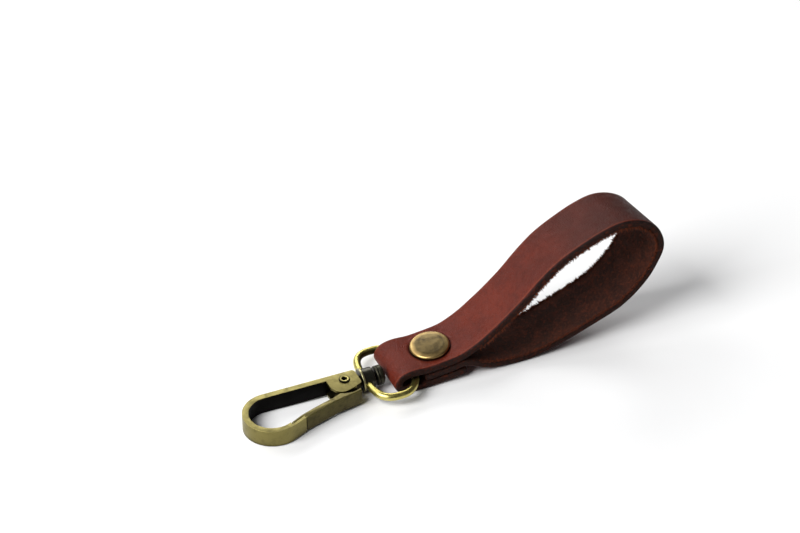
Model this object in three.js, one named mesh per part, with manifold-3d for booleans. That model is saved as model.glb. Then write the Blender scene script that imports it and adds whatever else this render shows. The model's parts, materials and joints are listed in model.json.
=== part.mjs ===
// Leather strap keychain: a folded and riveted leather loop, a swivel eye and a trigger snap hook.
// Millimetres, +Z up. +X runs from the hook towards the loop's far bend, +Y across the strap.
// The origin is at the centre of the bounding box, on the surface that the keychain lies on.

import * as THREE from 'three';
import { mergeVertices } from 'three/addons/utils/BufferGeometryUtils.js';
import Module from 'manifold-3d';

const wasm = await Module();
wasm.setup();

// ---------------------------------------------------------------- driving dimensions

// Leather strap
const strapWidth = 17.5;
const strapThickness = 2.4;
const layerGap = 0.3; // air between the pressed layers
const loopLength = 88.3; // fold to far bend
const loopHeight = 43.7; // top of the raised loop
const farEndSkew = 3.5; // how much further the -Y edge reaches at the far bend
const flapPastCap = 1.75; // the return flap's end, behind the rivet cap
const rivetBehindEye = 6.45; // rivet axis, behind the eye's arc
const rivetTiltDeg = 6;
const pocketPlay = 0.55; // above and below the eye inside the front fold
const foldRoom = 1.25; // between the fold's inside and the eye's wire

// Double-cap rivet
const capDiameter = 12.5;
const capHeight = 1.9;
const capSink = 0.35; // how deep the cap is pressed into the leather
const baseDiameter = 11.4;
const baseHeight = 0.95;
const baseSink = 0.95;
const rivetPostRadius = 1.2;
const rivetTubeWall = 0.55;

// Swivel eye
const eyeSlack = 3.5; // how much wider than the strap the eye is inside
const eyeOuterDepth = 17.6;
const eyeWire = 2.4;
const eyeBarSquareness = 3.2; // superellipse exponent on the bar's side
const eyeArcSquareness = 2.0; // and on the leather's side
const eyeSideShift = -1.1; // the eye lies towards one edge of the strap
const bossWall = 1.65;
const bossLength = 3.5;
const bossFlangeStep = 0.4; // how far the flange stands out of the boss
const bossFlangeLength = 0.7;

// Swivel pin
const pinRadius = 1.5;
const knobRadius = 3.1;
const knobLength = 2.7;
const knobNeck = 0.8; // bare pin between the boss and the knob
const pinGrip = 1.9; // pin length inside the hook

// Trigger hook
const hookLength = 39.7; // bow tip to the pivot end
const hookThickness = 5.6;
const bowRadius = 9.3; // outside
const bandThickness = 2.0;
const bowOffset = -5.7; // bow centre, across from the swivel axis
const spineFlareDeg = 1.9;
const noseAngleDeg = 23.5;
const noseLength = 5.2;
const noseRebate = 1.0; // step that takes the gate's tongue
const cheekThickness = 0.8;
const endBlock = 2.05; // solid end that holds the pin
const hookToEye = 0.9; // hook end to the eye's flange

// Gate, its pivot eyelet and its spring
const pivotX = -4.4; // pivot axis, from the hook's end
const pivotY = -0.6;
const gateInset = 0.2; // the gate is this much thinner than the hook on each side
const earThickness = 0.6;
const eyeletRadius = 1.2;
const eyeletWall = 0.35;
const eyeletFlangeStep = 0.5;
const eyeletFlangeHeight = 0.35;
const springWire = 0.4;
const springTurns = 3;

// Clearances
const gap = 0.3; // between pieces that move past each other
const seat = 0.1; // between pieces that sit on each other
const bore = 0.15; // radial, round a pin in its hole

const roundSegments = 40;

// ---------------------------------------------------------------- fits

const rivetTubeRadius = rivetPostRadius + bore + rivetTubeWall;
const bossRadius = pinRadius + bore + bossWall;
const bossFlangeRadius = bossRadius + bossFlangeStep;

// The eye is wider inside than the strap. Its arc swings about a line through the middle of its stretch
// inside the fold, and the rivet sits behind it.
const eyeHalfWidth = (strapWidth + eyeSlack + eyeWire) / 2;
const eyeHalfDepth = (eyeOuterDepth - eyeWire) / 2;
const edgeShare = (strapWidth / 2 - eyeSideShift) / eyeHalfWidth;
const arcDepth = eyeHalfDepth * (1 - Math.sqrt(1 - edgeShare ** 2));
const swingX = strapThickness + foldRoom + eyeWire / 2 + arcDepth / 2;
const eyeApexX = swingX + arcDepth / 2 + eyeWire / 2;
const rivetX = eyeApexX + rivetBehindEye;

const pocketHeight = eyeWire + 2 * pocketPlay;
const foldTop = 2 * strapThickness + pocketHeight;
const foldFlatEnd = rivetX - capDiameter / 2 + 0.25; // where the stack starts to rise
const flapLength = rivetX + capDiameter / 2 + flapPastCap;

// ---------------------------------------------------------------- shared helpers

const rad = THREE.MathUtils.degToRad;

function point(x, y) {
  return new THREE.Vector2(x, y);
}

function toSolid(geometry) {
  const bare = geometry.clone();
  bare.deleteAttribute('normal');
  bare.deleteAttribute('uv');
  const merged = mergeVertices(bare, 1e-5);
  return new wasm.Manifold(new wasm.Mesh({
    numProp: 3,
    vertProperties: new Float32Array(merged.attributes.position.array),
    triVerts: new Uint32Array(merged.index.array),
  }));
}

function toGeometry(solid) {
  const mesh = solid.getMesh();
  const geometry = new THREE.BufferGeometry();
  geometry.setAttribute('position', new THREE.BufferAttribute(new Float32Array(mesh.vertProperties), 3));
  geometry.setIndex(new THREE.BufferAttribute(new Uint32Array(mesh.triVerts), 1));
  geometry.computeVertexNormals();
  return geometry;
}

// A flat outline made into a plate between two heights.
function plate(outline, bottom, top) {
  const geometry = new THREE.ExtrudeGeometry(new THREE.Shape(outline), {
    depth: top - bottom,
    bevelEnabled: false,
    steps: 1,
  });
  geometry.translate(0, 0, bottom);
  return toSolid(geometry);
}

// An outline of [radius, height] pairs turned about Z.
function turned(profile, segments = roundSegments) {
  const geometry = new THREE.LatheGeometry(profile.map(([radius, height]) => point(radius, height)), segments);
  return geometry.rotateX(Math.PI / 2);
}

// The same, with its axis along X.
function turnedAlongX(profile) {
  return turned(profile).rotateY(Math.PI / 2);
}

function rod(radius, bottom, top) {
  return turned([[0, bottom], [radius, bottom], [radius, top], [0, top]]);
}

function arc(centre, radius, fromDeg, toDeg, steps) {
  return Array.from({ length: steps + 1 }, (_, i) => {
    const angle = rad(fromDeg + (toDeg - fromDeg) * i / steps);
    return point(centre.x + radius * Math.cos(angle), centre.y + radius * Math.sin(angle));
  });
}

function part(name, geometry, color, roughness, metalness) {
  const mesh = new THREE.Mesh(geometry, new THREE.MeshStandardMaterial({ color, roughness, metalness }));
  mesh.name = name;
  return mesh;
}

const leatherBrown = 0x6b2c1f;
const antiqueBrass = 0x8a7f45;
const brightBrass = 0xb5a552;
const darkMetal = 0x4b4a42;

// ---------------------------------------------------------------- leather strap

// The stack at the rivet, from the lowest leather upwards.
const stackHeight = 3 * strapThickness + 2 * layerGap;
const rise = Math.tan(rad(rivetTiltDeg));
const stackLift = (x) => Math.max(0, x - foldFlatEnd) * rise;

// Grain side of the strip, from the flap's end round the fold, over the loop and back to its tucked end.
function grainLine() {
  const middleLayer = strapThickness + layerGap;
  const stackTop = (x) => stackHeight + stackLift(x);
  const tuckedEnd = eyeApexX + 0.95;
  const capRear = rivetX + 5;
  const riseFoot = stackTop(capRear);
  // The loop's points are shares of its free length behind the cap and of its height.
  const x = (share) => capRear + share * (loopLength - capRear);
  const above = (share) => riseFoot + share * (loopHeight - riseFoot);
  const fold = (along, up) => point(along * foldTop, up * foldTop);
  const line = new THREE.Path();
  line.moveTo(flapLength, stackLift(flapLength));
  line.lineTo(foldFlatEnd, 0);
  line.lineTo(0.634 * foldTop, 0);
  line.splineThru([
    fold(0.293, 0.067),
    fold(0.073, 0.232),
    fold(0, 0.44),
    fold(0.055, 0.66),
    fold(0.232, 0.866),
    fold(0.512, 0.97),
    fold(0.854, 1),
    point(foldFlatEnd + 1, stackHeight + 0.25),
    point(rivetX, stackTop(rivetX) + 0.05),
    point(capRear, stackTop(capRear) + 0.25),
    point(x(0.051), above(0.045)),
    point(x(0.112), above(0.111)),
    point(x(0.163), above(0.184)),
    point(x(0.223), above(0.275)),
    point(x(0.313), above(0.431)),
    point(x(0.386), above(0.582)),
    point(x(0.461), above(0.718)),
    point(x(0.528), above(0.807)),
    point(x(0.624), above(0.902)),
    point(x(0.698), above(0.960)),
    point(x(0.788), above(1)),
    point(x(0.877), above(0.969)),
    point(x(0.955), above(0.870)),
    point(x(0.995), above(0.719)),
    point(x(1), above(0.589)),
    point(x(0.979), above(0.474)),
    point(x(0.936), above(0.320)),
    point(x(0.883), above(0.195)),
    point(x(0.832), above(0.106)),
    point(x(0.773), loopHeight * 0.229),
    point(x(0.684), loopHeight * 0.169),
    point(x(0.580), loopHeight * 0.105),
    point(x(0.491), loopHeight * 0.055),
    point(x(0.416), loopHeight * 0.020),
    point(x(0.344), loopHeight * 0.002),
    point(x(0.268), loopHeight * 0.002),
    point(x(0.193), loopHeight * 0.014),
    point(flapLength + 5.5, middleLayer - 1),
    point(flapLength + 2.4, middleLayer + 0.6),
    point(flapLength - 0.6, middleLayer + stackLift(flapLength - 1) + 0.3),
    point(rivetX + 4, middleLayer + stackLift(rivetX + 4)),
  ]);
  line.lineTo(tuckedEnd, middleLayer + stackLift(tuckedEnd));
  return line;
}

// Evenly spaced points along a path, straight stretches included.
function sampled(path, spacing) {
  const points = [];
  path.curves.forEach((curve, index) => {
    const count = Math.max(1, Math.round(curve.getLength() / spacing));
    const stretch = curve.getSpacedPoints(count);
    points.push(...(index === 0 ? stretch : stretch.slice(1)));
  });
  return points;
}

function offsetRight(points, distance) {
  return points.map((p, i) => {
    const before = points[Math.max(0, i - 1)];
    const after = points[Math.min(points.length - 1, i + 1)];
    const along = after.clone().sub(before).normalize();
    return point(p.x + along.y * distance, p.y - along.x * distance);
  });
}

const rivetAxis = new THREE.Vector3(-Math.sin(rad(rivetTiltDeg)), 0, Math.cos(rad(rivetTiltDeg)));
const rivetFoot = new THREE.Vector3(rivetX, 0, stackLift(rivetX));

function alongRivet(geometry) {
  return geometry.clone()
    .applyQuaternion(new THREE.Quaternion().setFromUnitVectors(new THREE.Vector3(0, 0, 1), rivetAxis))
    .translate(rivetFoot.x, rivetFoot.y, rivetFoot.z);
}

function leatherStrap() {
  const grain = sampled(grainLine(), 1.8);
  const flesh = offsetRight(grain, strapThickness);
  const outline = [...grain, ...flesh.reverse()];
  const geometry = new THREE.ExtrudeGeometry(new THREE.Shape(outline), {
    depth: strapWidth,
    bevelEnabled: false,
    steps: 2,
  });
  // Stand the outline up: its second axis becomes +Z and the width runs along Y.
  geometry.rotateX(Math.PI / 2).translate(0, strapWidth / 2, 0);
  const skewStart = 34;
  const position = geometry.attributes.position;
  for (let i = 0; i < position.count; i += 1) {
    const share = THREE.MathUtils.smoothstep(position.getX(i), skewStart, loopLength);
    position.setX(i, position.getX(i) - share * farEndSkew * position.getY(i) / strapWidth);
  }
  const reach = 8; // how far the cutters run clear of the stack
  const hole = rod(rivetTubeRadius + bore, -reach, stackHeight + reach);
  const capSeat = rod(capDiameter / 2 + gap, stackHeight - capSink, stackHeight + reach);
  const baseSeat = rod(baseDiameter / 2 + gap, -reach, baseSink);
  const lowerHalf = toSolid(alongRivet(hole)).add(toSolid(alongRivet(baseSeat)));
  const belowLoop = toSolid(alongRivet(rod(capDiameter, stackHeight + 3, stackHeight + 2 * reach)));
  return toGeometry(toSolid(geometry)
    .subtract(lowerHalf)
    .subtract(toSolid(alongRivet(capSeat)).subtract(belowLoop)));
}

// ---------------------------------------------------------------- rivet

function rivetCap() {
  const underside = stackHeight - capSink + seat;
  const top = underside + capHeight;
  const radius = capDiameter / 2;
  const tubeFoot = stackHeight * 0.3;
  const socketTop = stackHeight * 0.8;
  return turned([
    [rivetPostRadius + bore, tubeFoot],
    [rivetTubeRadius, tubeFoot],
    [rivetTubeRadius, underside],
    [radius - 0.5, underside],
    [radius - 0.1, underside + 0.25],
    [radius, underside + 0.7],
    [radius - 0.15, underside + 1.1],
    [radius * 0.88, top - 0.45],
    [radius * 0.6, top - 0.15],
    [radius * 0.3, top],
    [0, top],
    [0, socketTop],
    [rivetPostRadius + bore, socketTop],
    [rivetPostRadius + bore, tubeFoot],
  ]);
}

function rivetPost() {
  const top = baseSink - seat;
  const bottom = top - baseHeight;
  const radius = baseDiameter / 2;
  const postTop = stackHeight * 0.8 - gap;
  return turned([
    [0, bottom],
    [radius * 0.75, bottom],
    [radius - 0.2, bottom + 0.25],
    [radius, bottom + 0.6],
    [radius - 0.1, top - 0.15],
    [radius - 0.4, top],
    [rivetPostRadius, top],
    [rivetPostRadius, postTop - 0.3],
    [rivetPostRadius - 0.3, postTop],
    [0, postTop],
  ]);
}

// ---------------------------------------------------------------- swivel eye

// In the eye's own frame the swing axis is x = 0.
const eyeCentreX = arcDepth / 2 - eyeHalfDepth;
const barX = eyeCentreX - eyeHalfDepth;

// Centre line of the eye's wire: elliptical in the leather, squarer at the bar.
class EyeCurve extends THREE.Curve {
  getPoint(t, target = new THREE.Vector3()) {
    const angle = 2 * Math.PI * t;
    const cos = Math.cos(angle);
    const sin = Math.sin(angle);
    const power = 2 / (cos < 0 ? eyeBarSquareness : eyeArcSquareness);
    return target.set(
      eyeCentreX + eyeHalfDepth * Math.sign(cos) * Math.abs(cos) ** power,
      eyeHalfWidth * Math.sign(sin) * Math.abs(sin) ** power,
      0,
    );
  }
}

const bossBack = barX - 1.05; // end of the boss on the hook's side, before its flange
const bossFront = bossBack + bossLength;
const flangeBack = bossBack - bossFlangeLength;
const hookOrigin = flangeBack - hookToEye;

function swivelEye() {
  const torusRadius = 10;
  const ring = new THREE.TorusGeometry(torusRadius, eyeWire / 2, 14, 76);
  const curve = new EyeCurve();
  const position = ring.attributes.position;
  for (let i = 0; i < position.count; i += 1) {
    const turn = Math.atan2(position.getY(i), position.getX(i)) / (2 * Math.PI);
    const t = (turn + 1) % 1;
    const outwards = Math.hypot(position.getX(i), position.getY(i)) - torusRadius;
    const centre = curve.getPoint(t);
    const along = curve.getPoint(t + 1e-3).sub(curve.getPoint(t - 1e-3)).normalize();
    position.setX(i, centre.x + along.y * outwards);
    position.setY(i, centre.y - along.x * outwards);
  }
  const boss = turnedAlongX([
    [0, flangeBack],
    [bossFlangeRadius - 0.2, flangeBack],
    [bossFlangeRadius, flangeBack + 0.2],
    [bossFlangeRadius, bossBack - 0.15],
    [bossRadius, bossBack],
    [bossRadius, bossFront - 0.3],
    [bossRadius - 0.3, bossFront],
    [0, bossFront],
  ]);
  const clear = 2; // how far the bore's cutter runs past the boss
  const boreCut = turnedAlongX([
    [0, flangeBack - clear],
    [pinRadius + bore, flangeBack - clear],
    [pinRadius + bore, bossFront + clear],
    [0, bossFront + clear],
  ]);
  return toGeometry(toSolid(ring).add(toSolid(boss)).subtract(toSolid(boreCut)));
}

// ---------------------------------------------------------------- trigger hook
// In the hook's own frame the pivot end is at x = 0, the bow at -hookLength and the swivel axis is y = 0, z = 0.

const hookHalf = hookThickness / 2;
const slotHalf = hookHalf - cheekThickness; // half the height between the cheeks
const bowCentre = point(-hookLength + bowRadius, bowOffset);
const innerRadius = bowRadius - bandThickness;
const spineTangentDeg = 90 - spineFlareDeg;
const noseStartDeg = noseAngleDeg - 90;
const earRadius = -pivotX - endBlock - gap;
const innerWallY = pivotY + earRadius + gap; // inner face of the spine between the cheeks
const cheekEdgeX = pivotX - 5.35;
const aroundPivot = (dx, dy) => point(pivotX + dx, pivotY + dy);

// Outer face of the spine at a given x.
function spineOuter(x) {
  const top = bowCentre.y + bowRadius / Math.cos(rad(spineFlareDeg));
  return top - Math.tan(rad(spineFlareDeg)) * (x - bowCentre.x);
}

// A point on the nose: a distance along it, and an offset inwards from the band's inner face.
function onNose(distance, inwards) {
  const start = arc(bowCentre, innerRadius, noseStartDeg, noseStartDeg, 1)[0];
  const cos = Math.cos(rad(noseAngleDeg));
  const sin = Math.sin(rad(noseAngleDeg));
  return point(start.x + cos * distance - sin * inwards, start.y + sin * distance + cos * inwards);
}

function hookBand() {
  const innerAtCheek = spineOuter(cheekEdgeX) - bandThickness / Math.cos(rad(spineFlareDeg));
  return [
    point(-endBlock / 2, spineOuter(-endBlock / 2)),
    ...arc(bowCentre, bowRadius, spineTangentDeg, 360 + noseStartDeg, 30),
    onNose(noseLength - 0.9, -bandThickness),
    onNose(noseLength - 0.25, -bandThickness + 0.3),
    onNose(noseLength, -bandThickness + 0.6),
    onNose(noseLength - 0.2, -noseRebate),
    onNose(0.3, -noseRebate),
    onNose(0.3, 0),
    ...arc(bowCentre, innerRadius, 360 + noseStartDeg, spineTangentDeg, 26),
    point(cheekEdgeX, innerAtCheek),
    point(-endBlock / 2, innerAtCheek),
  ];
}

const cheekOutline = [
  point(-0.7, spineOuter(-0.7)),
  point(cheekEdgeX - 0.3, spineOuter(cheekEdgeX - 0.3)),
  point(cheekEdgeX - 0.05, 1),
  aroundPivot(-5.35, -2.0),
  aroundPivot(-4.7, -3.55),
  aroundPivot(-3.3, -4.9),
  aroundPivot(-1.8, -5.4),
  aroundPivot(0.4, -4.9),
  aroundPivot(2.3, -4.2),
  point(-0.4, pivotY - 3.4),
  point(0, pivotY - 2.7),
  point(0, 1.6),
];

function hookBody() {
  const band = plate(hookBand(), -hookHalf, hookHalf);
  const cheeks = plate(cheekOutline, -hookHalf, hookHalf);
  const slotOutline = [
    point(cheekEdgeX - 0.2, -9),
    point(-endBlock, -9),
    point(-endBlock, innerWallY),
    point(cheekEdgeX - 0.2, innerWallY),
  ];
  const slot = plate(slotOutline, -slotHalf, slotHalf);
  const eyeletHole = plate(arc(point(pivotX, pivotY), eyeletRadius + bore, 0, 345, 23), -hookHalf - 1, hookHalf + 1);
  const pinHole = toSolid(turnedAlongX([
    [0, -endBlock - 1],
    [pinRadius + bore, -endBlock - 1],
    [pinRadius + bore, 1],
    [0, 1],
  ]));
  return toGeometry(band.add(cheeks).subtract(slot).subtract(eyeletHole).subtract(pinHole));
}

function swivelPin() {
  const knobBack = bossFront - hookOrigin + knobNeck;
  const knobFront = knobBack + knobLength;
  return turnedAlongX([
    [0, -pinGrip],
    [pinRadius, -pinGrip],
    [pinRadius, knobBack],
    [knobRadius - 0.35, knobBack],
    [knobRadius, knobBack + 0.35],
    [knobRadius, knobFront - 0.9],
    [knobRadius - 0.35, knobFront - 0.3],
    [knobRadius - 1.1, knobFront],
    [0, knobFront],
  ]);
}

// ---------------------------------------------------------------- gate

const gateHalf = hookHalf - gateInset;
const earOuter = slotHalf - gap;
const earInner = earOuter - earThickness;
const gateStep = -6.0; // from the pivot, where the gate narrows towards the cheeks
const sweepRadius = 6.15; // the web's inner face, just clear of the cheeks as the gate turns

// Points from one end to the other, swelling to one side in the middle.
function bowed(from, to, swell, steps) {
  const along = to.clone().sub(from);
  const side = point(-along.y, along.x).normalize();
  return Array.from({ length: steps + 1 }, (_, i) => {
    const share = i / steps;
    return from.clone()
      .addScaledVector(along, share)
      .addScaledVector(side, 4 * swell * share * (1 - share));
  });
}

// A full-height bar whose outer web wraps the cheeks, with two ears inside them.
function gate() {
  const pivot = point(pivotX, pivotY);
  const barOutline = [
    onNose(0.9, 0),
    ...bowed(onNose(noseLength + 0.2, 0.1), aroundPivot(gateStep, -6.1), 0.15, 5),
    ...arc(pivot, sweepRadius, 236, 298, 12),
    aroundPivot(3.1, -6.2),
    aroundPivot(2.8, -6.6),
    aroundPivot(gateStep, -8.1),
    onNose(noseLength + gap, -bandThickness),
    onNose(noseLength + gap, -noseRebate + gap),
    onNose(0.9, -noseRebate + gap),
  ];
  const earOutline = [
    ...arc(pivot, earRadius, 0, 195, 14),
    aroundPivot(gateStep - 0.6, -6.4),
    aroundPivot(gateStep - 0.6, -7.2),
    aroundPivot(earRadius, -6.35),
  ];
  const hollowOutline = [
    aroundPivot(gateStep + 0.2, -6.0),
    aroundPivot(-4.4, -6.3),
    aroundPivot(earRadius + 1, -6.1),
    aroundPivot(earRadius + 1, earRadius + 1),
    aroundPivot(-3.6, earRadius + 1),
  ];
  const bar = plate(barOutline, -gateHalf, gateHalf);
  const ears = plate(earOutline, -earOuter, earOuter);
  const hollow = plate(hollowOutline, -earInner, earInner);
  const hole = plate(arc(pivot, eyeletRadius + bore, 0, 345, 23), -hookHalf, hookHalf);
  return toGeometry(bar.add(ears.subtract(hollow)).subtract(hole));
}

function gatePivot() {
  const seatHeight = hookHalf + seat;
  const end = seatHeight + eyeletFlangeHeight;
  const half = [
    [eyeletRadius, seatHeight],
    [eyeletRadius + eyeletFlangeStep, seatHeight],
    [eyeletRadius + eyeletFlangeStep, end - 0.12],
    [eyeletRadius + eyeletFlangeStep - 0.15, end],
    [eyeletRadius - eyeletWall + 0.25, end],
    [eyeletRadius - eyeletWall, end - 0.25],
  ];
  const mirrored = half.map(([radius, height]) => [radius, -height]).reverse();
  return turned([...mirrored, ...half, mirrored[0]], 28).translate(pivotX, pivotY, 0);
}

// Torsion spring round the eyelet: its first leg bears on the gate, its last on the spine's wall.
class SpringCurve extends THREE.Curve {
  getPoint(t, target = new THREE.Vector3()) {
    const coilRadius = eyeletRadius + bore + springWire / 2;
    const coilHalf = earInner - springWire / 2 - 0.2;
    const legShare = 0.12;
    const gateLegLength = 5.2;
    const wallLegLength = 4.2;
    const gateLegDeg = -35;
    const wallLegDeg = 85;
    const turn = THREE.MathUtils.clamp((t - legShare) / (1 - 2 * legShare), 0, 1);
    const angle = rad(gateLegDeg + turn * (springTurns * 360 + wallLegDeg - gateLegDeg));
    const past = (Math.max(0, t - (1 - legShare)) * wallLegLength
      - Math.max(0, legShare - t) * gateLegLength) / legShare;
    return target.set(
      pivotX + coilRadius * Math.cos(angle) - past * Math.sin(angle),
      pivotY + coilRadius * Math.sin(angle) + past * Math.cos(angle),
      -coilHalf + 2 * coilHalf * turn,
    );
  }
}

function gateSpring() {
  const section = new THREE.Shape(arc(point(0, 0), springWire / 2, 0, 300, 5));
  return new THREE.ExtrudeGeometry(section, {
    steps: 84,
    bevelEnabled: false,
    extrudePath: new SpringCurve(),
  });
}

// ---------------------------------------------------------------- assembly

const keychain = new THREE.Group();

const rivet = new THREE.Group();
rivet.position.copy(rivetFoot);
rivet.quaternion.setFromUnitVectors(new THREE.Vector3(0, 0, 1), rivetAxis);
rivet.add(
  part('rivet_cap', rivetCap(), antiqueBrass, 0.45, 1),
  part('rivet_post', rivetPost(), antiqueBrass, 0.5, 1),
);

// The eye hangs in the fold; the hook's weight tips it until the bow meets the surface below.
const swingHeight = strapThickness + pocketHeight / 2;
const bowReach = hookLength - hookOrigin;
const eye = new THREE.Group();
eye.position.set(swingX, eyeSideShift, swingHeight);
eye.rotation.y = -Math.asin((swingHeight - hookHalf) / bowReach);
eye.add(part('swivel_eye', swivelEye(), brightBrass, 0.3, 1));

const hook = new THREE.Group();
hook.position.x = hookOrigin;
hook.add(
  part('hook_body', hookBody(), antiqueBrass, 0.4, 1),
  part('swivel_pin', swivelPin(), darkMetal, 0.45, 1),
  part('gate', gate(), antiqueBrass, 0.45, 1),
  part('gate_pivot', gatePivot(), antiqueBrass, 0.4, 1),
  part('gate_spring', gateSpring(), darkMetal, 0.35, 1),
);
eye.add(hook);

keychain.add(part('leather_strap', leatherStrap(), leatherBrown, 0.6, 0), rivet, eye);

// Move the centre of the bounding box's base to the origin.
const box = new THREE.Box3().setFromObject(keychain, true);
const middle = box.getCenter(new THREE.Vector3());
keychain.position.set(-middle.x, -middle.y, -box.min.z);
keychain.updateMatrixWorld(true);

export default keychain;
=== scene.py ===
"""Looks of the leather strap keychain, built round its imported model.

Shapes are worked out in millimetres, in four frames: the strap's (x from the front fold, y from the
strap's middle), the rivet's, the eye's and the hook's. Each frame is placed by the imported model.
"""
import json
import math
import random

import bmesh
import bpy
import numpy as np
from mathutils import Matrix, Vector, noise


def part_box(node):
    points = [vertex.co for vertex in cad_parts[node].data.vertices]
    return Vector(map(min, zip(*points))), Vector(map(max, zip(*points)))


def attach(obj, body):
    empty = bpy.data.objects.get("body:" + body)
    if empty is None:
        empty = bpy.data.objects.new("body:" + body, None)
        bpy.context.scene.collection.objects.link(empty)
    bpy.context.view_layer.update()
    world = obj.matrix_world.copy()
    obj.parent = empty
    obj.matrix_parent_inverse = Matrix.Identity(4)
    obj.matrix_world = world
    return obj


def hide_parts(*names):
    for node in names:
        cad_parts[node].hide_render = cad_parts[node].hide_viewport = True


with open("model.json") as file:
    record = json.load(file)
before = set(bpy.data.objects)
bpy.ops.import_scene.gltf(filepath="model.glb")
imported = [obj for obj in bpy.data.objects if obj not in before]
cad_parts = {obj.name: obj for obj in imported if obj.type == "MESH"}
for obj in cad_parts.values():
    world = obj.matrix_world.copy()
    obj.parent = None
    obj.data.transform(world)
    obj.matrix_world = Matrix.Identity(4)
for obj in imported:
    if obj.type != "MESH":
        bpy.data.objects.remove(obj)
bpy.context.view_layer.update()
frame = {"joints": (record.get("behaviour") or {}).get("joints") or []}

MM = 0.001

# ---------------------------------------------------------------- sizes, in millimetres

# Leather strap
STRAP_WIDTH = 17.5
STRAP_THICKNESS = 2.4
LAYER_GAP = 0.3
LOOP_LENGTH = 88.3
LOOP_HEIGHT = 43.7
FAR_END_SKEW = 3.5
SKEW_START = 34  # where along the strap the skew begins
FLAP_PAST_CAP = 1.75
RIVET_BEHIND_EYE = 6.45
RIVET_TILT = math.radians(6)
POCKET_PLAY = 0.55
FOLD_ROOM = 1.25
TOP_CORNER = 0.75  # rounding of the strap's corners on the grain side
FLESH_CORNER = 0.4  # and on the flesh side
STATION_SPACING = 0.36  # between the skin's cross sections
SURFACE_FIBRES = 5200  # loose fibres over the flesh side

# Double-cap rivet
CAP_RADIUS = 6.25
CAP_HEIGHT = 1.9
CAP_SINK = 0.35
BASE_RADIUS = 5.7
BASE_HEIGHT = 0.95
BASE_SINK = 0.95
POST_RADIUS = 1.2
TUBE_RADIUS = 1.9

# Swivel eye and pin
EYE_SLACK = 3.5
EYE_OUTER_DEPTH = 17.6
EYE_WIRE = 2.4
EYE_BAR_SQUARENESS = 3.2
EYE_ARC_SQUARENESS = 2.0
EYE_SIDE_SHIFT = -1.1
BOSS_RADIUS = 3.3
BOSS_LENGTH = 3.5
BOSS_OVERHANG = 1.05  # how far the boss reaches past the bar towards the hook
FLANGE_RADIUS = 3.7
FLANGE_LENGTH = 0.7
PIN_RADIUS = 1.5
KNOB_RADIUS = 3.1
KNOB_LENGTH = 2.7
KNOB_NECK = 0.8
PIN_GRIP = 1.9
HOOK_TO_EYE = 0.9

# Trigger hook, gate, eyelet and spring
HOOK_LENGTH = 39.7
HOOK_HALF = 2.8
BOW_RADIUS = 9.3
BAND = 2.0
BOW_OFFSET = -5.7
SPINE_FLARE = math.radians(1.9)
NOSE_ANGLE = math.radians(23.5)
NOSE_LENGTH = 5.2
NOSE_REBATE = 1.0
CHEEK = 0.8
CHEEK_REACH = 5.35  # from the pivot to the cheeks' front edge
END_BLOCK = 2.05
PIVOT = Vector((-4.4, -0.6))
GATE_HALF = 2.6
EAR_THICKNESS = 0.6
GATE_STEP = -6.0  # from the pivot, where the gate narrows towards the cheeks
SWEEP_RADIUS = 6.15  # the web's inner face
EYELET_RADIUS = 1.2
EYELET_WALL = 0.35
EYELET_FLANGE = 0.5
EYELET_FLANGE_HEIGHT = 0.35
SPRING_WIRE = 0.4
SPRING_TURNS = 3

GAP = 0.3
SEAT = 0.1
BORE = 0.15

# ---------------------------------------------------------------- fits

POCKET = EYE_WIRE + 2 * POCKET_PLAY
FOLD_TOP = 2 * STRAP_THICKNESS + POCKET
STACK = 3 * STRAP_THICKNESS + 2 * LAYER_GAP
SOCKET_TOP = STACK * 0.8  # inside the cap's tube
TUBE_FOOT = STACK * 0.3
EYE_HALF_WIDTH = (STRAP_WIDTH + EYE_SLACK + EYE_WIRE) / 2
EYE_HALF_DEPTH = (EYE_OUTER_DEPTH - EYE_WIRE) / 2
EDGE_SHARE = (STRAP_WIDTH / 2 - EYE_SIDE_SHIFT) / EYE_HALF_WIDTH
ARC_DEPTH = EYE_HALF_DEPTH * (1 - math.sqrt(1 - EDGE_SHARE ** 2))
SWING_X = STRAP_THICKNESS + FOLD_ROOM + EYE_WIRE / 2 + ARC_DEPTH / 2
EYE_APEX_X = SWING_X + ARC_DEPTH / 2 + EYE_WIRE / 2
RIVET_X = EYE_APEX_X + RIVET_BEHIND_EYE
FOLD_FLAT_END = RIVET_X - CAP_RADIUS + 0.25
FLAP_LENGTH = RIVET_X + CAP_RADIUS + FLAP_PAST_CAP


def stack_lift(x):
    return max(0, x - FOLD_FLAT_END) * math.tan(RIVET_TILT)


# ---------------------------------------------------------------- frames

joints = {joint["name"]: joint for joint in frame["joints"]}
strap_low, strap_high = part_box("leather_strap")


def frame_at(origin, x_axis, z_axis):
    """Placement of a frame whose origin is in metres and whose shapes are in millimetres."""
    x_axis = Vector(x_axis).normalized()
    z_axis = Vector(z_axis).normalized()
    turn = Matrix((x_axis, z_axis.cross(x_axis), z_axis)).transposed().to_4x4()
    return Matrix.Translation(Vector(origin)) @ turn @ Matrix.Scale(MM, 4)


strap_frame = frame_at((strap_low.x, (strap_low.y + strap_high.y) / 2, 0), (1, 0, 0), (0, 0, 1))
rivet_up = Vector((-math.sin(RIVET_TILT), 0, math.cos(RIVET_TILT)))
rivet_foot = Vector((RIVET_X, 0, stack_lift(RIVET_X)))
rivet_frame = frame_at(strap_frame @ rivet_foot, (rivet_up.z, 0, -rivet_up.x), rivet_up)
swivel_axis = Vector(joints["hook_swivel"]["axis"])
gate_up = -Vector(joints["gate_hinge"]["axis"])
eye_frame = frame_at(joints["eye_swing"]["pos_m"], swivel_axis, gate_up)
hook_frame = frame_at(joints["hook_swivel"]["pos_m"], swivel_axis, gate_up)

# ---------------------------------------------------------------- mesh helpers


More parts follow.
